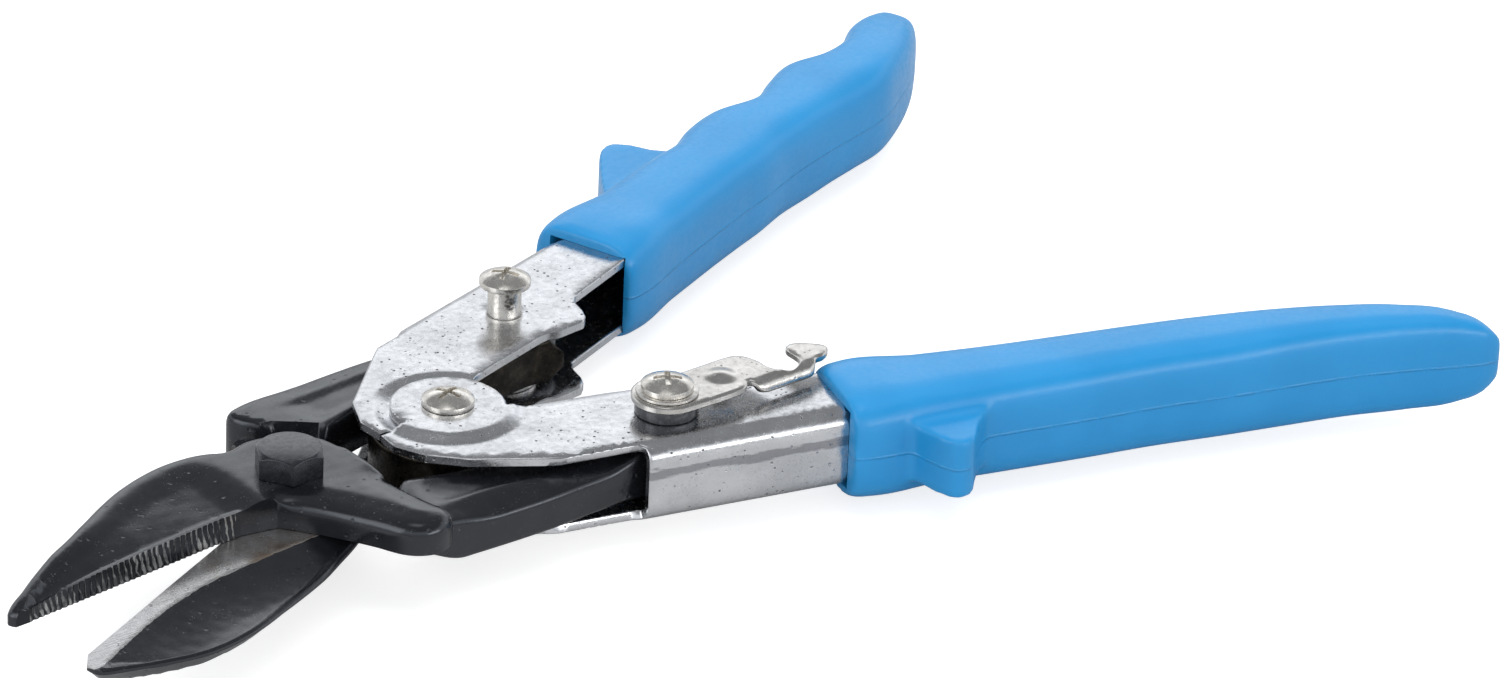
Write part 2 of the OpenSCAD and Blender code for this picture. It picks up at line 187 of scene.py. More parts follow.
def sheet_mesh(outline, step, holes=(), rings=(), extra=None):
    """Fills an outline with triangles: points, faces and how far each point is from the edge.

    Points stand step apart, with more at the distances from the edge in rings, so that it can be rounded.
    """
    line = np.asarray(outline, float)
    loops = [line] + [np.asarray(h, float) for h in holes]
    edges_at = np.vstack(loops)
    lo, hi = line.min(0), line.max(0)
    xs = np.arange(lo[0], hi[0] + step, step)
    ys = np.arange(lo[1], hi[1] + step, step * 0.866)
    grid = np.array([[x + (j % 2) * step / 2, y] for j, y in enumerate(ys) for x in xs])
    points = [grid]
    for loop in loops:
        d = np.roll(loop, -1, 0) - np.roll(loop, 1, 0)
        normal = np.stack([-d[:, 1], d[:, 0]], 1) / (np.linalg.norm(d, axis=1)[:, None] + 1e-9)
        for r in rings:
            points += [loop + normal * r, loop - normal * r]
    if extra is not None:
        points.append(np.asarray(extra, float))
    keep = []
    far = rings[-1] if rings else 0
    for k, q in enumerate(points):
        q = q[inside(q, line)]
        for h in loops[1:]:
            q = q[~inside(q, h)]
        d = distance(q, line)
        for h in loops[1:]:
            d = np.minimum(d, distance(q, h))
        if k == 0:
            q = q[d > far + step * 0.45]
        else:
            ring = rings[((k - 1) // 2) % len(rings)] if rings and k <= 2 * len(rings) * len(loops) else 0
            q = q[d > ring * 0.93]
        keep.append(q)
    inner = np.vstack(keep)
    verts = [Vector(v) for v in np.vstack([edges_at, inner])]
    borders, base = [], 0
    for loop in loops:
        n = len(loop)
        borders += [(base + i, base + (i + 1) % n) for i in range(n)]
        base += n
    out = geometry.delaunay_2d_cdt(verts, borders, [], 0, 1e-5)
    p = np.array([list(v) for v in out[0]])
    tri = np.array([list(f) for f in out[2]])
    mid = p[tri].mean(1)
    good = inside(mid, line)
    for h in loops[1:]:
        good &= ~inside(mid, h)
    tri = tri[good]
    used = np.unique(tri)
    back = np.full(len(p), -1)
    back[used] = np.arange(len(used))
    p, tri = p[used], back[tri]
    d = distance(p, line)
    for h in loops[1:]:
        d = np.minimum(d, distance(p, h))
    return p, tri, d


def solid_of(name, top, bottom, tri):
    """A closed mesh from two skins with the same triangles, in millimetres."""
    n = len(top)
    verts = np.vstack([top, bottom])
    faces = [tuple(f) for f in tri] + [tuple(f[::-1] + n) for f in tri]
    count = {}
    for f in tri:
        for a, b in ((f[0], f[1]), (f[1], f[2]), (f[2], f[0])):
            key = (min(a, b), max(a, b))
            count[key] = None if key in count else (a, b)
    faces += [(b, a, a + n, b + n) for a, b in filter(None, count.values())]
    return made(name, verts, faces)


def made(name, verts, faces):
    """An object from vertices in millimetres."""
    mesh = bpy.data.meshes.new(name)
    mesh.from_pydata((np.asarray(verts) * 0.001).tolist(), [], [tuple(int(i) for i in f) for f in faces])
    obj = bpy.data.objects.new(name, mesh)
    bpy.context.scene.collection.objects.link(obj)
    return shaded(obj)


def shaded(obj, sharp=38):
    """Smooth shading with sharp edges where faces meet at more than sharp degrees."""
    bm = bmesh.new()
    bm.from_mesh(obj.data)
    bmesh.ops.remove_doubles(bm, verts=bm.verts, dist=1e-6)
    bmesh.ops.recalc_face_normals(bm, faces=bm.faces)
    for f in bm.faces:
        f.smooth = True
    for e in bm.edges:
        e.smooth = not (e.is_manifold and e.calc_face_angle(0) > math.radians(sharp))
    bm.to_mesh(obj.data)
    bm.free()
    obj.data.update()
    return obj


def applied(obj, sharp=38):
    """The object with its modifiers made part of its mesh."""
    bpy.context.view_layer.update()
    mesh = bpy.data.meshes.new_from_object(obj.evaluated_get(bpy.context.evaluated_depsgraph_get()))
    obj.modifiers.clear()
    obj.data = mesh
    return shaded(obj, sharp)


def joined(name, *objects):
    """One object with the meshes of several, which it replaces."""
    bm = bmesh.new()
    for o in objects:
        bm.from_mesh(o.data)
    mesh = bpy.data.meshes.new(name)
    bm.to_mesh(mesh)
    bm.free()
    for o in objects:
        bpy.data.objects.remove(o)
    obj = bpy.data.objects.new(name, mesh)
    bpy.context.scene.collection.objects.link(obj)
    return shaded(obj)


def rounded_copy(node, width, name):
    """A new piece with the CAD node's shape and rounded edges."""
    obj = bpy.data.objects.new(name, frame["nodes"][node].data.copy())
    bpy.context.scene.collection.objects.link(obj)
    obj.data.materials.clear()
    bm = bmesh.new()
    bm.from_mesh(obj.data)
    bmesh.ops.remove_doubles(bm, verts=bm.verts, dist=2e-6)
    bmesh.ops.dissolve_limit(bm, angle_limit=math.radians(1), verts=bm.verts, edges=bm.edges)
    bm.to_mesh(obj.data)
    bm.free()
    mod = obj.modifiers.new("edge", "BEVEL")
    mod.width, mod.segments, mod.limit_method = width * 0.001, 3, "ANGLE"
    mod.angle_limit = math.radians(30)
    return applied(obj)


# Materials ---------------------------------------------------------------------------
class Look:
    """A procedural material whose patterns are measured in millimetres of the piece."""

    def __init__(self, name, color, metallic, roughness, coat=0.0, specular=0.5):
        self.mat = bpy.data.materials.new(name)
        self.mat.use_nodes = True
        self.tree = self.mat.node_tree
        self.shader = self.tree.nodes["Principled BSDF"]
        self.place = self.node("ShaderNodeMapping")
        self.place.inputs["Scale"].default_value = (1000, 1000, 1000)
        self.join(self.node("ShaderNodeTexCoord").outputs["Object"], self.place.inputs["Vector"])
        self.shader.inputs["Base Color"].default_value = (*color, 1)
        self.shader.inputs["Metallic"].default_value = metallic
        self.shader.inputs["Roughness"].default_value = roughness
        self.shader.inputs["Coat Weight"].default_value = coat
        self.shader.inputs["Specular IOR Level"].default_value = specular
        self.mat.diffuse_color = (*color, 1)
        self.last_normal = None

    def node(self, kind):
        return self.tree.nodes.new(kind)

    def join(self, a, b):
        self.tree.links.new(a, b)

    def put(self, socket, value):
        if isinstance(value, bpy.types.NodeSocket):
            self.join(value, socket)
        elif isinstance(value, (tuple, list)) and len(value) == 3:
            socket.default_value = (*value, 1)
        else:
            socket.default_value = value

    def noise(self, size, detail=3.0, roughness=0.5, stretch=(1, 1, 1), turn=0.0):
        n = self.node("ShaderNodeTexNoise")
        n.inputs["Scale"].default_value = 1.0 / size
        n.inputs["Detail"].default_value = detail
        n.inputs["Roughness"].default_value = roughness
        m = self.node("ShaderNodeMapping")
        m.inputs["Scale"].default_value = stretch
        m.inputs["Rotation"].default_value = (0, 0, math.radians(turn))
        self.join(self.place.outputs[0], m.inputs["Vector"])
        self.join(m.outputs[0], n.inputs["Vector"])
        return n.outputs["Fac"]

    def cells(self, size):
        n = self.node("ShaderNodeTexVoronoi")
        n.inputs["Scale"].default_value = 1.0 / size
        self.join(self.place.outputs[0], n.inputs["Vector"])
        return n.outputs["Distance"]

    def part(self, axis):
        n = self.node("ShaderNodeSeparateXYZ")
        self.join(self.place.outputs[0], n.inputs[0])
        return n.outputs["XYZ".index(axis)]

    def math(self, kind, a, b=0.0, clamp=False):
        n = self.node("ShaderNodeMath")
        n.operation, n.use_clamp = kind, clamp
        self.put(n.inputs[0], a)
        self.put(n.inputs[1], b)
        return n.outputs[0]

    def steps(self, value, low, high, a=0.0, b=1.0):
        """Goes smoothly from a to b while the value goes from low to high."""
        n = self.node("ShaderNodeMapRange")
        n.interpolation_type = "SMOOTHSTEP"
        for name, v in (("Value", value), ("From Min", low), ("From Max", high),
                        ("To Min", a), ("To Max", b)):
            self.put(n.inputs[name], v)
        return n.outputs["Result"]

    def mix(self, share, a, b):
        n = self.node("ShaderNodeMix")
        n.data_type = "RGBA"
        self.put(n.inputs["Factor"], share)
        self.put(n.inputs[6], a)
        self.put(n.inputs[7], b)
        return n.outputs[2]

    def color(self, value):
        self.join(value, self.shader.inputs["Base Color"])
        return self

    def rough(self, value):
        self.join(value, self.shader.inputs["Roughness"])
        return self

    def metal(self, value):
        self.join(value, self.shader.inputs["Metallic"])
        return self

    def bump(self, height, depth):
        """Adds relief of a depth in millimetres to what is there already."""
        n = self.node("ShaderNodeBump")
        n.inputs["Distance"].default_value = depth * 0.001
        n.inputs["Strength"].default_value = 1.0
        self.join(height, n.inputs["Height"])
        if self.last_normal is not None:
            self.join(self.last_normal, n.inputs["Normal"])
        self.last_normal = n.outputs["Normal"]
        self.join(self.last_normal, self.shader.inputs["Normal"])
        return self


def plated_sheet(name, base, pit=1.0, band=False):
    """Zinc plating with pits and dark spots; band adds a painted dark reflection stripe along a channel's web."""
    m = Look(name, base, 1.0, 0.2)
    cloud = m.noise(8, 4, 0.6)
    pits = m.steps(m.cells(1.15), 0.10, 0.24, 1.0, 0.0)
    where = m.steps(m.noise(2.4, 3, 0.6), 0.50, 0.60)
    spots = m.math("MULTIPLY", pits, where)
    fine = m.steps(m.noise(0.26, 3, 0.75), 0.63, 0.70)
    spots = m.math("MAXIMUM", spots, m.math("MULTIPLY", fine, m.steps(m.noise(6, 2), 0.40, 0.62, 0.15, 0.7)))
    dull = m.mix(m.steps(cloud, 0.35, 0.7), base, tuple(c * 0.84 for c in base))
    tone = m.mix(m.math("MULTIPLY", spots, 0.80 * pit), dull, (0.07, 0.07, 0.08))
    # painted reflection: a ragged dark stripe on the web's upright faces stands in for the dark band that its
    # rounded bend reflects
    if band:
        ragged = m.math("MULTIPLY", m.math("SUBTRACT", m.noise(1.5, 5, 0.65, (0.22, 0.22, 1)), 0.5), 3.2)
        height = m.math("ADD", m.math("SUBTRACT", m.part("Z"), MID), ragged)
        painted_reflection_stripe = m.math("MULTIPLY", m.steps(height, 0.9, 1.5), m.steps(height, 2.6, 3.0, 1.0, 0.0))
        face = m.node("ShaderNodeNewGeometry")
        up = m.node("ShaderNodeSeparateXYZ")
        m.join(face.outputs["Normal"], up.inputs[0])
        upright = m.steps(m.math("ABSOLUTE", up.outputs["Z"]), 0.35, 0.15)
        tone = m.mix(m.math("MULTIPLY", m.math("MULTIPLY", painted_reflection_stripe, upright), 0.62), tone, (0.16, 0.16, 0.18))
    m.color(tone)
    gloss = m.steps(m.noise(1.1, 4, 0.6), 0.3, 0.75, 0.17, 0.30)
    m.rough(m.math("ADD", gloss, m.math("MULTIPLY", spots, 0.3)))
    m.bump(m.noise(6, 2, 0.5), 0.13).bump(m.noise(0.9, 4, 0.6), 0.020 * pit)
    m.bump(m.math("SUBTRACT", 1.0, spots), 0.06 * pit)
    return m.mat


def forged(name):
    """Blackened forging, with ground steel where the mark attribute is above 0 and scraped teeth below -2."""
    black = (0.0050, 0.0054, 0.0068)
    m = Look(name, black, 0.0, 0.22, coat=0.20, specular=0.55)
    m.shader.inputs["Specular Tint"].default_value = (0.86, 0.91, 1.0, 1)
    m.shader.inputs["Coat Roughness"].default_value = 0.20
    grain = m.noise(0.50, 6, 0.65)
    cloud = m.noise(6, 4, 0.6)
    pits = m.steps(m.cells(1.9), 0.06, 0.20, 1.0, 0.0)
    pits = m.math("MULTIPLY", pits, m.steps(m.noise(4.0, 2), 0.48, 0.60))
    flecks = m.steps(m.noise(0.30, 3, 0.8), 0.665, 0.69)
    worn = m.math("MULTIPLY", flecks, m.steps(m.noise(5, 2), 0.46, 0.60))
    tone = m.mix(m.steps(cloud, 0.3, 0.75), black, (0.009, 0.0095, 0.0115))
    tone = m.mix(m.math("MULTIPLY", worn, 0.65), tone, (0.34, 0.34, 0.35))
    stored = m.node("ShaderNodeAttribute")
    stored.attribute_name = "mark"
    value = stored.outputs["Fac"]
    edge = m.math("ADD", value, m.math("MULTIPLY", m.math("SUBTRACT", m.noise(1.2, 3), 0.5), 0.5))
    ground = m.steps(edge, -0.10, 0.10)
    lines = m.noise(0.42, 4, 0.6, (0.05, 1.6, 1), 66)
    brown = m.math("MULTIPLY", m.steps(m.noise(7, 4, 0.6), 0.40, 0.70),
                   m.steps(m.part("X"), -36, -16, 0.0, 0.8))
    steel = m.mix(lines, (0.36, 0.355, 0.35), (0.66, 0.65, 0.635))
    steel = m.mix(brown, steel, (0.26, 0.175, 0.11))
    specks = m.math("MULTIPLY", m.steps(m.noise(0.5, 3, 0.7), 0.66, 0.70), 0.8)
    steel = m.mix(specks, steel, (0.03, 0.03, 0.03))
    toothed = m.steps(value, -2.4, -2.6)
    along = m.math("ADD", m.part("X"), m.math("MULTIPLY", m.noise(2.0, 2), TOOTH))
    along = m.math("ADD", along, m.math("MULTIPLY", m.part("Z"), 0.22))
    wave = m.math("SINE", m.math("MULTIPLY", along, 2 * math.pi / TOOTH))
    low = m.steps(m.noise(6.5, 2), 0.40, 0.62, 0.98, -0.10)
    scraped = m.math("MULTIPLY", m.steps(m.math("SUBTRACT", wave, low), -0.25, 0.35), toothed)
    scraped = m.math("MULTIPLY", scraped, m.steps(m.noise(4.5, 3, 0.6), 0.42, 0.56, 0.12, 1.0))
    share = m.math("MAXIMUM", ground, m.math("MULTIPLY", scraped, 0.85))
    m.color(m.mix(share, tone, m.mix(toothed, steel, (0.50, 0.50, 0.49))))
    m.metal(m.math("MULTIPLY", share, 0.9))
    gloss = m.steps(m.noise(1.6, 5, 0.7), 0.3, 0.7, 0.14, 0.24)
    m.rough(m.math("ADD", gloss, m.math("MULTIPLY", share, 0.05)))
    m.join(m.math("MULTIPLY", m.math("SUBTRACT", 1.0, share), 0.20), m.shader.inputs["Coat Weight"])
    m.bump(cloud, 0.02).bump(grain, 0.012).bump(m.math("SUBTRACT", 1.0, pits), 0.10)
    m.bump(m.math("MULTIPLY", lines, ground), 0.03)
    return m.mat


def turned_metal(name, base, rough=0.16, dirt=0.35):
    m = Look(name, base, 1.0, rough)
    stain = m.math("MULTIPLY", m.steps(m.noise(1.3, 5, 0.65), 0.50, 0.72), dirt)
    m.color(m.mix(stain, base, tuple(c * 0.35 for c in base)))
    m.rough(m.steps(m.noise(0.9, 4, 0.6), 0.3, 0.7, rough * 0.7, rough * 1.9))
    m.bump(m.noise(0.8, 3, 0.5), 0.02).bump(m.noise(0.18, 2), 0.004)
    return m.mat


def black_steel(name, base=(0.008, 0.008, 0.010)):
    m = Look(name, base, 0.0, 0.22, coat=0.20, specular=0.55)
    m.shader.inputs["Specular Tint"].default_value = (0.86, 0.91, 1.0, 1)
    m.color(m.mix(m.steps(m.noise(1.2, 5, 0.7), 0.4, 0.75), base, tuple(c * 2.6 for c in base)))
    m.rough(m.steps(m.noise(0.7, 4), 0.3, 0.7, 0.16, 0.32))
    m.bump(m.noise(0.9, 4, 0.6), 0.010)
    return m.mat


def spring_metal(name):
    m = Look(name, (0.10, 0.09, 0.075), 0.9, 0.3)
    # dark bronze, darkened further as painted shade for the shadow the strip lies in under the plates
    m.color(m.mix(m.steps(m.noise(2.5, 4, 0.6), 0.35, 0.7), (0.018, 0.016, 0.014), (0.050, 0.043, 0.034)))
    m.rough(m.steps(m.noise(0.8, 3), 0.3, 0.7, 0.2, 0.42))
    m.bump(m.noise(0.5, 3, 0.6, (1, 1, 0.2)), 0.02)
    return m.mat


def grip_plastic(name):
    base = (0.008, 0.228, 0.52)
    m = Look(name, base, 0.0, 0.36, coat=0.12, specular=0.45)
    cloud = m.noise(14, 3, 0.5)
    m.color(m.mix(m.steps(cloud, 0.3, 0.7), base, (0.012, 0.25, 0.56)))
    height = m.math("SUBTRACT", m.part("Z"), MID)
    seam = m.math("SUBTRACT", 1.0, m.math("DIVIDE", m.math("ABSOLUTE", height), 0.30), True)
    broken = m.steps(m.noise(2.6, 4, 0.7), 0.36, 0.58, 0.25, 1.0)
    m.rough(m.steps(m.noise(0.9, 4, 0.6), 0.3, 0.7, 0.30, 0.43))
    m.bump(m.noise(9, 2, 0.5), 0.10).bump(m.noise(0.38, 3, 0.6), 0.018)
    m.bump(m.math("MULTIPLY", seam, broken), 0.16)
    return m.mat


LOOKS = {
    "post_sheet": plated_sheet("post_sheet", (0.645, 0.65, 0.665)),
    "latch_sheet": plated_sheet("latch_sheet", (0.66, 0.665, 0.68), band=True),
    "latch_metal": plated_sheet("latch_metal", (0.62, 0.60, 0.57), 0.35),
    "forged": forged("forged"),
    "nickel": turned_metal("nickel", (0.74, 0.71, 0.66), 0.2, 0.2),
    "washer": turned_metal("washer", (0.66, 0.64, 0.61), 0.24),
    "spacer": black_steel("spacer", (0.03, 0.03, 0.033)),
    "black": black_steel("black"),
    "spring": spring_metal("spring"),
    "blue": grip_plastic("blue"),
}


def dress(obj, look):
    obj.data.materials.clear()
    obj.data.materials.append(LOOKS[look])
    return obj


def stands_for(obj, node, look):
    """The piece rides with a CAD node's body and is shown in the node's place."""
    dress(obj, look)
    body = next(b for b, nodes in frame["record"]["behaviour"]["bodies"].items() if node in nodes)
    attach(obj, body)
    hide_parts(node)
    return obj


# Channels: one blank, cut to its outline and folded ------------------------------------
FLAT = PLATE - BEND
ARC = BEND * math.pi / 2


def web_frame(x, y):
    """A handle's plan to (along the web, out from the web's outer face)."""
    q = turned([[x, y - WEB_Y]], -WEB_LEAN)[0]
    return q[0], q[1]


def blank_point(x, y):
    """A handle's plan to the flat blank: along the web, and up from its middle line round the bend."""
    p, q = web_frame(x, y)
    if q < -BEND:
        return [p, FLAT + ARC - BEND - q]
    return [p, FLAT + BEND * math.acos(min(1.0, max(-1.0, (q + BEND) / BEND)))]


def channel(name, side, outline, web_start, inner, joggle):
    """A handle's pressed channel, with its plates joggled by joggle round the centre pivot.

    outline: plan points from the stop to the web; inner: plan points of the open edge from the tail forward.
    """
    disc = [at_radius(DISC, a) for a in range(10, -196, -5)]
    stop = outline[0]
    half = [blank_point(*p) for p in resampled(inner, 0.9, False)]
    half += [blank_point(*p) for p in disc if p[0] * stop[1] - p[1] * stop[0] < 0 or p[0] > 0]
    half += [blank_point(*p) for p in curve(outline, 0.9, range(len(outline)), False)]
    p0 = web_frame(web_start, WEB_Y)[0]
    last = half[-1]
    corner = [[p0 - 1.2, last[1] - 0.2], [p0 - 0.2, last[1] - 1.0], [p0, last[1] - 2.4]]
    half += [list(q) for q in curve([last] + corner, 0.7, (), False)[1:]]
    half += [list(q) for q in resampled([[p0, half[-1][1]], [p0, 0.0]], 0.8, False)[1:]]
    top = np.array(half)
    lower = top[::-1][1:].copy()
    lower[:, 1] *= -1
    end = resampled([lower[-1], top[0]], 1.5, False)[1:-1]
    line = np.vstack([top, lower, end])
    hole = []
    own_pivot = turned([[POST[0] - CENTRE[0], POST[1]]], -GRIP_SPREAD)[0]
    for at, r in (((0.0, 0.0), 3.05), (own_pivot, BARREL + 0.02)):
        ring = circle(r, 40, blank_point(*at))
        hole += [ring, ring * [1, -1]]
    bends = [[x, s * (FLAT + ARC * k / 6)]
             for x in np.arange(p0 - 12, END, 1.6) for k in range(7) for s in (-1, 1)]
    centre = np.array(blank_point(0, 0))
    steps = np.vstack([circle(r, 90, centre) for r in np.arange(8.6, 13.6, 0.5)])
    extra = np.vstack([bends, steps, steps * [1, -1]])
    p, tri, d = sheet_mesh(line, 1.7, hole, (0.12, 0.35), extra)
    v = np.abs(p[:, 1])
    sign = np.where(p[:, 1] < 0, -1.0, 1.0)
    r = np.hypot(p[:, 0] - centre[0], v - centre[1])
    lift = joggle * ease((12.1 - r) / 2.6)
    round_off = 0.22 * np.clip(1 - d / 0.35, 0, 1) ** 2

    def skin(depth):
        """The folded sheet's surface at a depth below its outer face."""
        radius = BEND - depth
        phi = np.clip((v - FLAT) / BEND, 0, math.pi / 2)
        q = np.where(v < FLAT + ARC, -BEND + radius * np.cos(phi), -BEND - (v - FLAT - ARC))
        q = np.where(v < FLAT, -depth, q)
        z = np.where(v < FLAT, v, FLAT + radius * np.sin(phi))
        z = np.where(v > FLAT + ARC, PLATE - depth + lift, z)
        flat = np.stack([p[:, 0], q, sign * z], 1)
        out = turned(flat, WEB_LEAN)
        out[:, 1] += WEB_Y
        return handle_to_row(out, side)

    outer, core = skin(0.0), skin(SHEET)
    across = outer - core
    across /= np.linalg.norm(across, axis=1)[:, None]
    return solid_of(name, outer - across * round_off[:, None], core + across * round_off[:, None], tri)


post_channel = channel(
    "post_channel_sheet", 1,
    [at_radius(DISC, 164.2), at_radius(13.4, 164.2), [-11.6, 8.2], [-7.0, 13.0], [10.2, 20.55], [15.5, 20.35]],
    18,
    [[END, 11.0], [59.3, 6.5], [43.2, 5.6], [41.6, 4.4], [40.0, 1.8], [38.6, 0.4], [37.0, -0.3], [31.8, 0.9],
     [30.6, 1.9], [28.6, 2.2], [18, 2.6], [8.7, 2.8]], -0.82)
stands_for(post_channel, "post_channel", "post_sheet")
latch_channel = channel(
    "latch_channel_sheet", -1,
    [at_radius(DISC, 158.2), at_radius(13.6, 158.6), [-11.9, 9.0], [-8.4, 13.1], [-2.6, 16.5], [11.0, 20.5],
     [22.5, 20.0]], 25,
    [[END, 11.0], [59.3, 6.5], [38.0, 3.1], [25, 2.6], [8.7, 2.8]], 0.85)
stands_for(latch_channel, "latch_channel", "latch_sheet")


# Grips: a lofted sleeve with its guard moulded on ----------------------------------------
def between(stations, x):
    """Smooth values of the stations at x."""
    s = np.array(stations, float)
    out = []
    for k in range(1, s.shape[1]):
        slope = np.gradient(s[:, k], s[:, 0])
        i = np.clip(np.searchsorted(s[:, 0], x) - 1, 0, len(s) - 2)
        h = s[i + 1, 0] - s[i, 0]
        t = (x - s[i, 0]) / h
        out.append((2 * t**3 - 3 * t**2 + 1) * s[i, k] + (t**3 - 2 * t**2 + t) * h * slope[i]
                   + (3 * t**2 - 2 * t**3) * s[i + 1, k] + (t**3 - t**2) * h * slope[i + 1])
    return np.stack(out, 1)


def prism(name, plan, z0, z1, side):
    """An upright block over a handle's plan."""
    p = np.asarray(plan, float)
    n = len(p)
    verts = np.vstack([np.c_[p, np.full(n, z0)], np.c_[p, np.full(n, z1)]])
    faces = [tuple(range(n - 1, -1, -1)), tuple(range(n, 2 * n))]
    faces += [(i, (i + 1) % n, (i + 1) % n + n, i + n) for i in range(n)]
    return made(name, handle_to_row(verts, side), faces)


def grip(name, side, stations, guard, guard_h):
    """A moulded grip round its channel, from stations of [x, inner y, outer y, share of the height]."""
    x = np.arange(stations[0][0], stations[-1][0] + 1e-6, 0.8)
    rows = between(stations, x)
    n, verts, faces = 72, [], []
    for xi, (y0, y1, share) in zip(x, rows):
        lip = 0.28 * math.exp(-((xi - 60.2) / 1.3) ** 2)
        w, h = (y1 - y0) / 2, GRIP_H * share + lip * 0.6
        for k in range(n):
            a = 2 * math.pi * (k + 0.5) / n
            c, s = math.cos(a), math.sin(a)
            y = (y0 + y1) / 2 + (w + lip * 0.5) * math.copysign(abs(c) ** 0.50, c)
            verts.append([xi, y, h * math.copysign(abs(s) ** 0.58, s)])
    for i in range(len(x) - 1):
        for k in range(n):
            j = (k + 1) % n
            faces.append((i * n + k, (i + 1) * n + k, (i + 1) * n + j, i * n + j))
    last = (len(x) - 1) * n
    faces += [tuple(range(n)), tuple(last + k for k in range(n - 1, -1, -1))]
    body = made(name + "_body", handle_to_row(verts, side), faces)
    fin = prism(name + "_fin", curve(guard, 1.0, (0, len(guard) - 1), True), -guard_h, guard_h, side)
    both = joined(name, body, fin)
    mod = both.modifiers.new("one", "REMESH")
    mod.mode, mod.voxel_size = "VOXEL", 0.00055
    both = applied(both)
    mod = both.modifiers.new("soften", "SMOOTH")
    mod.factor, mod.iterations = 0.5, 9
    both = applied(both)
    room = prism(name + "_room", [[50, 5.3], [59.3, 6.42], [END + 0.1, 10.9], [END + 0.1, 17.95], [50, 21.1]],
                 -PLATE - 0.03, PLATE + 0.03, side)
    mod = both.modifiers.new("room", "BOOLEAN")
    mod.operation, mod.object, mod.solver = "DIFFERENCE", room, "EXACT"
    both = applied(both, 50)
    bpy.data.objects.remove(room)
    return both


post_grip = grip("post_grip_sleeve", 1, [
    [58.6, 5.0, 23.6, 0.95], [61, 4.6, 24.2, 1], [75, 5.8, 23.2, 1], [92, 7.1, 23.6, 1], [97, 7.4, 23.4, 1],
    [103, 7.5, 25.0, 1], [111, 8.3, 25.4, 1], [120.5, 8.5, 22.4, 1], [127, 8.3, 24.2, 1], [134, 7.9, 25.4, 1],
    [141, 8.0, 22.8, 1], [147.5, 9.6, 22.4, 1], [154, 11.6, 24.8, 0.96], [160, 14.4, 25.0, 0.88],
    [164, 17.0, 24.4, 0.72], [166.4, 19.8, 23.4, 0.42]],
    [[76, 20], [79.5, 24.2], [92, 33.5], [95.2, 33.7], [97, 31.4], [98, 26.8], [101, 20]], 5.0)
stands_for(post_grip, "post_grip", "blue")
latch_grip = grip("latch_grip_sleeve", -1, [
    [58.6, 4.8, 23.6, 0.95], [61, 4.0, 24.0, 1], [75, 5.4, 23.2, 1], [88, 6.4, 22.9, 1], [100, 6.8, 22.7, 1],
    [110, 7.1, 22.3, 1], [124, 7.8, 22.5, 1], [134, 9.0, 22.3, 1], [145, 10.9, 22.4, 0.98],
    [155, 13.6, 23.4, 0.95], [163, 16.8, 24.6, 0.85], [167.6, 19.6, 24.9, 0.64], [170, 22.0, 24.2, 0.36]],
    [[65.4, 20], [67.8, 24], [71.6, 31.5], [74.6, 31.7], [77, 28], [80, 24], [86, 20]], 5.0)
stands_for(latch_grip, "latch_grip", "blue")

# Jaws -------------------------------------------------------------------------------------
SHANK = [[16.2, 4.6], [28, 3.8], [40, 0.5], [52, -3.4], [59, -5.4], [66, -6.2], [68.6, -4.6], [69.8, -1.8],
         [69.6, 3.0], [67.0, 5.9], [60.8, 6.6], [53, 7.8], [46, 10.2], [39, 12.9], [32, 15.2],
         [24.5, 17.4], [15.8, 19.8], [11.6, 19.2], [12.4, 12.0]]


def fillet(d, r):
    """How far a rounded edge of radius r falls at distance d from the outline."""
    t = np.clip(1 - d / r, 0, 1)
    return r * (1 - np.sqrt(1 - t * t * 0.98))  # 0.98 keeps the last step short of upright


def shank(name, side, slack, low, high):
    """A jaw's shank; low or high is its face towards the other jaw where the two cross at the main bolt."""
    line = curve(SHANK, 0.8, (0, len(SHANK) - 1))
    hole = circle(BARREL + slack, 44, (SHANK_PIVOT, 0.0))
    p, tri, _ = sheet_mesh(line, 0.9, [hole], (0.2, 0.5, 0.9))
    edge = distance(p, line)
    r = np.hypot(p[:, 0], p[:, 1])
    middle = np.interp(p[:, 0], [14, 40, 60, 70], [11.3, 5.4, 0.4, -0.6])
    across = (p[:, 1] - middle) / np.interp(p[:, 0], [14, 40, 60], [6.5, 4.9, 6])
    web = 0.32 * ease((1 - np.abs(across) / 0.72) / 0.5)
    web *= ease((p[:, 0] - 17) / 5) * ease((54 - p[:, 0]) / 6)
    outer = distance(p, np.array(SHANK[10:-1]), False)
    along = ease((56 - p[:, 0]) / 8) * ease((p[:, 0] - 15) / 14)
    slope = (2.0 if side < 0 else 0.5) * ease(1 - outer / 5.0) * along
    rough = 0.05 * wobble(p, 3.1, side)
    fall = fillet(edge, 1.0) + web + rough * ease(edge / 2)
    dive = 2.2 * ease((17 - p[:, 0]) / 6) if side < 0 else 0  # ends the shank inside the head
    top, bottom = HALF_SHANK - fall - slope - dive, -HALF_SHANK + fall
    inner = ease((r - 17.3) / 1.0)
    under = ease((r - 17.3) / 5.5) * (ease((p[:, 0] - 12) / 11) if side < 0 else 1)
    if high is not None:
        top = high - fillet(edge, 0.8) + (top - high) * (inner if side > 0 else 1)
    if low is not None:
        bottom = low + (bottom - low) * under
    return solid_of(name, link_to_row(np.c_[p, top], side), link_to_row(np.c_[p, bottom], side), tri)


def head(line):
    """A jaw's head filled from its plan, with the main bolt's hole."""
    return sheet_mesh(line, 0.75, [circle(BOLT_HOLE, 48)], (0.15, 0.4, 0.75, 1.2))


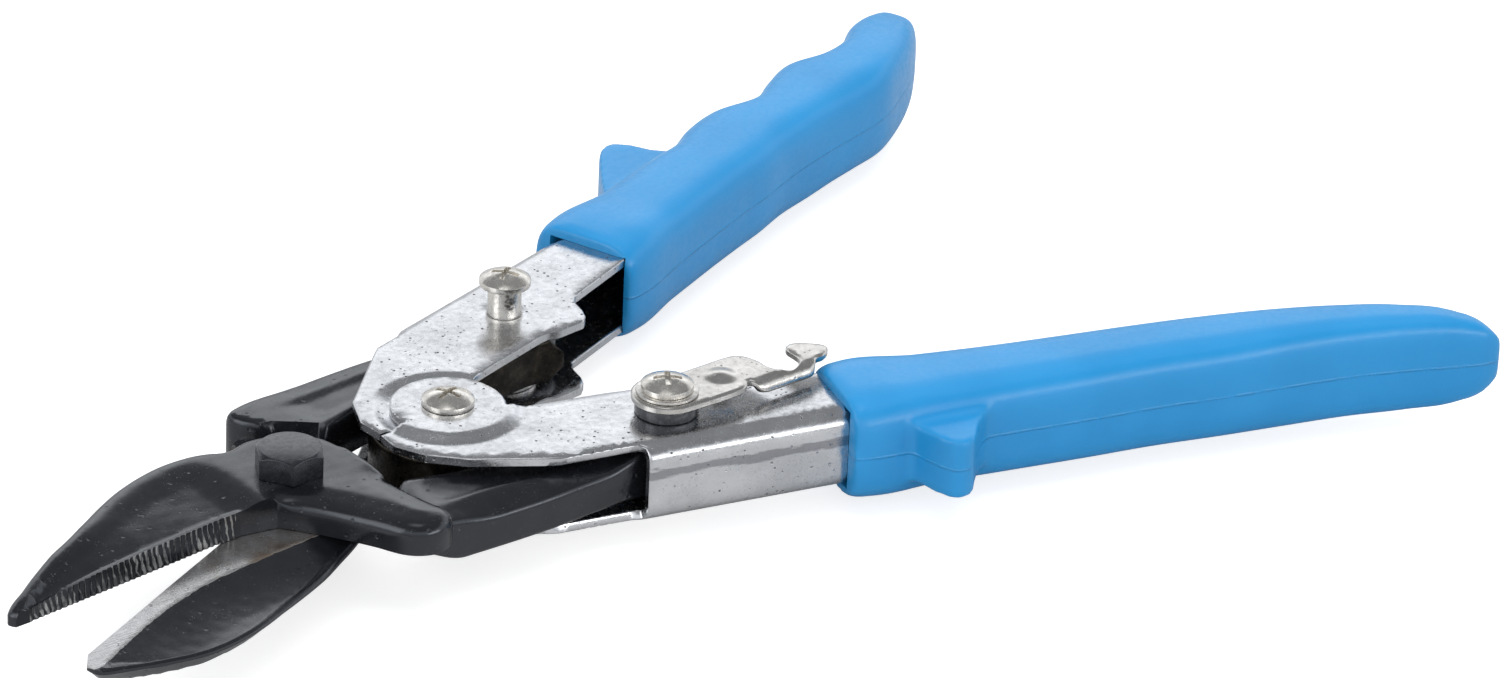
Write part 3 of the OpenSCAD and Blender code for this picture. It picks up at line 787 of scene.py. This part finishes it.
# Upper jaw's plan: the rounded back, the neck towards its shank, and the toothed edge
rim = [[-56.0, -7.9], [-56.6, -6.7], [-55.4, -5.2], [-52.5, -3.8], [-48, -1.3], [-43.8, 0.9], [-39.4, 2.9],
       [-35, 5.2], [-30, 8.0], [-25, 10.4], [-20, 12.1], [-15, 13.1], [-10, 13.0], [-7, 12.3],
       [-4, 11.0], [0, 11.9], [4, 11.3], [8, 9.4], [10.6, 6.0], [11.6, 2.0]]
neck = [[11.6, -10], [12.2, -15], [12.8, -19], [13.4, -22.8], [11.6, -25.4], [8.0, -26.3], [4.4, -24.2],
        [1.8, -19], [-1.2, -13.5], [-4.5, -8.4], [-6.5, -5.8]]
edge_line = [[-12.3, -4.6], [-17, -4.9], [-30, -6.0], [-40, -6.8], [-54, -7.9]]

smooth_rim = curve(rim, 0.7, (0,), False)
smooth_neck = curve(neck, 0.7, (), False)
teeth = []
for x in np.arange(-12.4, -53.4, -0.275):
    base = np.interp(-x, [12.3, 17, 30, 40, 54], [-4.6, -4.9, -6.0, -6.8, -7.9])
    phase = ((-x - 12.4) / TOOTH) % 1.0
    deep = 0.26 if -53 < x < -15.5 else 0.0
    teeth.append([x, base + deep * (0.5 - abs(phase - 0.5)) * 2])
upper_line = np.vstack([smooth_rim, resampled([rim[-1], neck[0]], 0.8, False)[1:-1], smooth_neck,
                        resampled([neck[-1], edge_line[0]], 0.8, False)[1:], teeth[1:],
                        resampled([teeth[-1], rim[0]], 0.5, False)[1:-1]])
p, tri, d = head(upper_line)
back = distance(p, smooth_rim, False)
front = distance(p, np.array(edge_line), False)
neck_d = distance(p, smooth_neck, False)
slope = np.clip((back - 2.4) / np.maximum(back + front - 3.4, 0.5), 0, 1)
end = ease((-7.5 - p[:, 0]) / 7.0)
# Height above the shear plane: from the crest at the back the face is dished down to the teeth
face_z = np.interp(p[:, 0], [-56, -52, -47, -40, -30, -14], [1.9, 2.4, 3.1, 3.7, 4.1, 4.3])
crest = np.interp(p[:, 0], [-56.5, -54, -50, -44, -36], [2.4, 3.2, 4.1, 5.0, 5.5])
z = crest - (crest - np.minimum(face_z, crest) + 0.45) * (0.35 * ease(slope / 0.35) + 0.65 * slope) * end
z = np.where(front < 1.4, z + (face_z - z) * (1 - ease(front / 1.4)), z)
nose = 2.6 + 2.5 * np.sqrt(np.clip(1 - np.clip(1 - neck_d / 2.4, 0, 1) ** 2, 0, 1))
nose += 0.4 * ease((neck_d - 1.5) / 4)
share = ease((p[:, 0] + 8.5) / 4.5) * ease((-3.0 - p[:, 1]) / 2.5)
z = z + (np.minimum(z, nose) - z) * share
z -= np.where(back < 1.5, fillet(back, 1.5) * ease((p[:, 0] + 56.6) / 3 + 0.6), 0.0)
right = distance(p, np.array([rim[-1], neck[0], neck[1], neck[2]]), False)
z -= np.where(right < 0.7, fillet(right, 0.7), 0.0)
z += 0.03 * wobble(p, 2.3, 3) * ease(d / 1.5)
low = np.full(len(p), 0.05)
serrated_head = solid_of("serrated_head", jaws_to_row(np.c_[p, z]), jaws_to_row(np.c_[p, low]), tri)
serrated_shank = shank("serrated_shank", -1, 0.05, -0.06, HALF_SHANK)
serrated = joined("serrated_jaw_forging", serrated_head, serrated_shank)
stands_for(serrated, "serrated_jaw", "forged")

# Lower jaw's plan: the shearing edge, round the bolt, and the outer edge back to the tip
plain_points = [
    [-52, -20.5], [-40, -15.2], [-30, -10.7], [-17, -5.0], [-12.4, -2.2], [-12, 3], [-9, 8.6], [-4, 12.4],
    [0.5, 16.2], [3.6, 19.4], [8.2, 21.2], [12.6, 18.6], [13.6, 11.0], [12.6, 4.0], [12.6, -3.0], [9.6, -9.0],
    [4.6, -13.4], [0, -16.5], [-4, -18.7], [-10, -22.0], [-20, -26.0], [-28, -28.8], [-36, -29.9],
    [-43.5, -28.7], [-50, -26.6], [-53.4, -25.2], [-54, -23.0]]
plain_line = curve(plain_points, 0.7, (0, 1, 2, 3, 4, 26))
p, tri, d = head(plain_line)
band_line = curve([[-52.4, -24.6], [-48.4, -22.6], [-44, -20.4], [-38, -17.6], [-32, -15.3], [-25, -13.4],
                   [-18, -12.4], [-10, -11.6], [-2, -11.0], [6, -11.6]], 0.8, (), False)
# The shearing face is flat along the ground band and dished below it
below = np.interp(p[:, 0], band_line[:, 0], band_line[:, 1]) - p[:, 1]
in_dip = (below > 0) & (p[:, 0] > -53)
dd = np.where(in_dip, np.minimum(distance(p, band_line, False), 9), 0.0)
rim_d = np.minimum(d, 9)
top = np.full(len(p), -0.05)
dish = 2.3 * (1 - np.exp(-dd / 5.5)) + 0.12 * ease(dd / 0.4)
top -= dish * ease((rim_d - 0.4) / 1.9) * ease((8 - p[:, 0]) / 3)
top -= np.where(in_dip | (p[:, 0] > 8), 0.35 * np.clip(1 - rim_d / 0.6, 0, 1) ** 2, 0.0)
top += 0.03 * wobble(p, 2.1, 8) * in_dip * ease(dd / 2)
hub_share = ease((16.5 - np.hypot(p[:, 0] - 1, p[:, 1] - 2)) / 4)
under = -np.minimum(0.9 + 1.05 * d, 3.8 + 1.7 * hub_share) + 0.08 * wobble(p, 3.0, 5)
plain_head = solid_of("plain_head", jaws_to_row(np.c_[p, top]), jaws_to_row(np.c_[p, under]), tri)
plain = joined("plain_jaw_forging", plain_head, shank("plain_shank", 1, OPEN_SLACK, None, -0.06))
stands_for(plain, "plain_jaw", "forged")


def mark(obj, values):
    """Stores a value for each point, which the forging's material reads."""
    layer = obj.data.attributes.new("mark", "FLOAT", "POINT")
    layer.data.foreach_set("value", values.astype(np.float32))


# Where the plain jaw is ground and where the teeth are scraped bright
at = np.array([list(v.co) for v in plain.data.vertices]) * 1000
above = at[:, 1] - np.interp(at[:, 0], band_line[:, 0], band_line[:, 1])
mark(plain, np.where((at[:, 2] > MID - 0.6) & (at[:, 0] < 4), np.clip(above, -1.2, 1.2), -1.2))
at = np.array([list(v.co) for v in serrated.data.vertices]) * 1000
face_d = distance(at, np.array(teeth), False)
mark(serrated, np.where((face_d < 0.02) & (at[:, 0] < -13.5), -3.0, -1.0))

# Bolt, nut, screws and washers: the CAD shapes with their edges broken -----------------------
for node, width, slot, look in (
    ("main_bolt", 0.25, "black_bolt", "black"), ("main_nut", 0.3, "black_bolt", "black"),
    ("nut_washer", 0.12, "zinc_hardware", "washer"), ("post_barrel", 0.15, "zinc_hardware", "nickel"),
    ("post_screw", 0.13, "zinc_hardware", "nickel"), ("latch_barrel", 0.15, "zinc_hardware", "nickel"),
    ("latch_spacer", 0.25, "dark_spacer", "spacer"), ("latch_washer", 0.12, "zinc_hardware", "washer"),
    ("latch_screw", 0.13, "zinc_hardware", "nickel"), ("centre_barrel", 0.15, "zinc_hardware", "nickel"),
    ("centre_screw", 0.13, "zinc_hardware", "nickel"),
    ("post_shank_washers", 0.1, "zinc_hardware", "washer"),
    ("latch_shank_washers", 0.1, "zinc_hardware", "washer"),
    ("centre_thrust_washers", 0.06, "zinc_hardware", "washer"),
):
    stands_for(rounded_copy(node, width, node + "_piece"), node, look)

# Latch: a stamped plate with its near edge folded down and a dimple pressed in it -----------------
LIP_AT, LIP_R, LIP_TURN, LATCH_T = -4.4, 0.9, math.radians(65), 1.3
LATCH_BOTTOM = 8.8  # above MID
throat = [(np.array([21.1, -1.9]) + at_radius(2.95, t)).tolist() for t in range(0, -181, -15)]
plan = [at_radius(5.6, t) for t in range(80, 277, 12)]
plan += [[4.0, -5.8], [8.0, -5.9], [10.8, -5.7], [12.0, -5.0], [12.6, -4.3], [13.2, -4.8], [13.8, -6.0],
         [14.9, -6.6], [17, -6.7], [20, -6.7], [23.6, -6.7], [24.6, -6.4], [25.2, -5.4], [26.2, -4.5],
         [27.8, -4.4], [29.6, -3.3], [30.0, -1.9], [27.6, 0.7], [25.7, 1.5], [24.3, 0.6]]
plan += throat + [[18.1, 0.2], [17.2, 2.6], [15.4, 3.7], [8.5, 3.9], [4.5, 4.1]]
p, tri, d = sheet_mesh(curve(plan, 0.4), 0.6, [circle(BARREL + 0.05, 40)], (0.16, 0.36))
past = np.where(p[:, 0] > 12.5, np.clip(LIP_AT - p[:, 1], 0, None), 0.0)
turn_by = np.minimum(past / LIP_R, LIP_TURN)
flat = np.maximum(past - LIP_R * LIP_TURN, 0)
y = np.where(past > 0, LIP_AT - LIP_R * np.sin(turn_by) - flat * math.cos(LIP_TURN), p[:, 1])
z = -LIP_R * (1 - np.cos(turn_by)) - flat * math.sin(LIP_TURN)
z += 0.6 * np.clip(1 - (np.hypot(p[:, 0] - 10.2, p[:, 1] + 0.6) / 3.1) ** 2, 0, 1) ** 2
middle = np.stack([p[:, 0] + LATCH[0], y + LATCH[1], z + LATCH[2] + LATCH_BOTTOM + LATCH_T / 2], 1)
normal = np.stack([0 * y, -np.sin(turn_by), np.cos(turn_by)], 1)
thick = (LATCH_T / 2 - 0.28 * np.clip(1 - d / 0.36, 0, 1) ** 2)[:, None]
latch_piece = solid_of("latch_stamping", middle + normal * thick, middle - normal * thick, tri)
stands_for(latch_piece, "latch_plate", "latch_metal")

# Opening spring: one strip bent round the centre pivot --------------------------------------------
bow = [[CENTRE[0] + x, y] for x, y in (at_radius(11.75, t) for t in range(180, 95, -6))]
leg = turned([[36, 0.65], [40, -0.55], [52, -4.45], [59.6, -6.45], [63.8, -9.3]], JAW_SPREAD)
path = curve(bow + leg.tolist(), 0.8, (), False)
path = np.vstack([path[:0:-1] * [1, -1], path])
run = np.concatenate([[0], np.cumsum(np.linalg.norm(np.diff(path, axis=0), axis=1))])
half, total = 3.6, run[-1]
strip = [[2.4, -half], [total - 2.4, -half], [total, -half + 2.4], [total, half - 2.4],
         [total - 2.4, half], [2.4, half], [0, half - 2.4], [0, -half + 2.4]]
p, tri, d = sheet_mesh(resampled(strip, 0.8), 0.9, (), (0.15, 0.35))
x, y = np.interp(p[:, 0], run, path[:, 0]), np.interp(p[:, 0], run, path[:, 1])
tangent = np.gradient(path, run, axis=0)
tx, ty = np.interp(p[:, 0], run, tangent[:, 0]), np.interp(p[:, 0], run, tangent[:, 1])
normal = np.stack([-ty, tx, 0 * tx], 1) / np.hypot(tx, ty)[:, None]
thick = (0.42 - 0.2 * np.clip(1 - d / 0.35, 0, 1) ** 2)[:, None]
middle = np.stack([x, y, p[:, 1] + MID], 1)
spring = solid_of("opening_spring_leaf", middle + normal * thick, middle - normal * thick, tri)
dress(spring, "spring")
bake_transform(spring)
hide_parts("opening_spring")

# Floor, light and camera ------------------------------------------------------------------------
floor_mesh = bpy.data.meshes.new("floor")
floor_mesh.from_pydata([(-4, -4, 0), (4, -4, 0), (4, 4, 0), (-4, 4, 0)], [], [(0, 1, 2, 3)])
floor = bpy.data.objects.new("floor", floor_mesh)
bpy.context.scene.collection.objects.link(floor)
floor.location = (0, 0, -0.0002)
floor_mat = bpy.data.materials.new("floor")
floor_mat.use_nodes = True
paint = floor_mat.node_tree.nodes["Principled BSDF"]
paint.inputs["Base Color"].default_value = (0.55, 0.55, 0.55, 1)
paint.inputs["Roughness"].default_value = 0.8
paint.inputs["Specular IOR Level"].default_value = 0.1
seen = floor_mat.node_tree.nodes.new("ShaderNodeLightPath")
glow = floor_mat.node_tree.nodes.new("ShaderNodeMath")
glow.operation = "MULTIPLY"
glow.inputs[1].default_value = 0.72
floor_mat.node_tree.links.new(seen.outputs["Is Camera Ray"], glow.inputs[0])
floor_mat.node_tree.links.new(glow.outputs[0], paint.inputs["Emission Strength"])
paint.inputs["Emission Color"].default_value = (1, 1, 1, 1)
floor_mesh.materials.append(floor_mat)

world = bpy.data.worlds.new("studio")
bpy.context.scene.world = world
world.use_nodes = True
sky = world.node_tree.nodes["Background"]
where = world.node_tree.nodes.new("ShaderNodeTexCoord")
split = world.node_tree.nodes.new("ShaderNodeSeparateXYZ")
ramp = world.node_tree.nodes.new("ShaderNodeValToRGB")
world.node_tree.links.new(where.outputs["Generated"], split.inputs[0])
world.node_tree.links.new(split.outputs["Z"], ramp.inputs[0])
world.node_tree.links.new(ramp.outputs[0], sky.inputs["Color"])
# Brightness by height: a bright band at the height that level faces reflect, and a darker top
levels = ((0.0, 0.62), (0.12, 0.58), (0.24, 1.12), (0.50, 1.18), (0.58, 0.28), (0.90, 0.32))
for i, (at_height, level) in enumerate(levels):
    stop = ramp.color_ramp.elements[i] if i < 2 else ramp.color_ramp.elements.new(at_height)
    stop.position, stop.color = at_height, (level * 0.93, level * 0.96, level, 1)
sky.inputs["Strength"].default_value = 1.0


def lamp(name, at, aim, size, power, wide=None, mirrored=True):
    """A soft box; one that isn't mirrored lights the piece without showing in its gloss."""
    data = bpy.data.lights.new(name, "AREA")
    data.energy, data.size = power, size
    if wide:
        data.shape, data.size_y = "RECTANGLE", wide
    obj = bpy.data.objects.new(name, data)
    bpy.context.scene.collection.objects.link(obj)
    obj.location = at
    obj.rotation_mode = "QUATERNION"
    obj.rotation_quaternion = (Vector(aim) - Vector(at)).to_track_quat("-Z", "Y")
    obj.visible_glossy = mirrored


lamp("overhead", (0.35, 0.35, 1.7), (0.06, 0, 0), 2.4, 33, mirrored=False)
lamp("far_panel", (1.03, 1.20, 0.76), (0.06, 0, 0), 1.4, 1.0, 0.50)
lamp("front_fill", (-0.9, -1.3, 0.8), (0.06, 0, 0), 1.6, 9, mirrored=False)
lamp("top_box", (-0.1, -0.1, 1.6), (0.06, 0, 0), 0.55, 1.1)
lamp("left_box", (-1.3, 0.1, 0.6), (0.06, 0, 0), 0.8, 4, 0.9)
lamp("front_box", (0.4, -1.4, 0.45), (0.08, 0, 0), 1.2, 4, 0.30)

camera_data = bpy.data.cameras.new("camera")
camera_data.sensor_width, camera_data.lens = 36.0, 196.56
camera = bpy.data.objects.new("camera", camera_data)
bpy.context.scene.collection.objects.link(camera)
right = Vector((0.77016, -0.63667, 0.03873))
up = Vector((0.26694, 0.37686, 0.88697))
forward = Vector((0.5793, 0.67277, -0.4602))
turn = Matrix((right, up, -forward)).transposed().to_4x4()
camera.matrix_world = Matrix.Translation((-0.661428, -0.873995, 0.609210)) @ turn
bpy.context.scene.camera = camera
bpy.context.scene.view_settings.view_transform = "Standard"
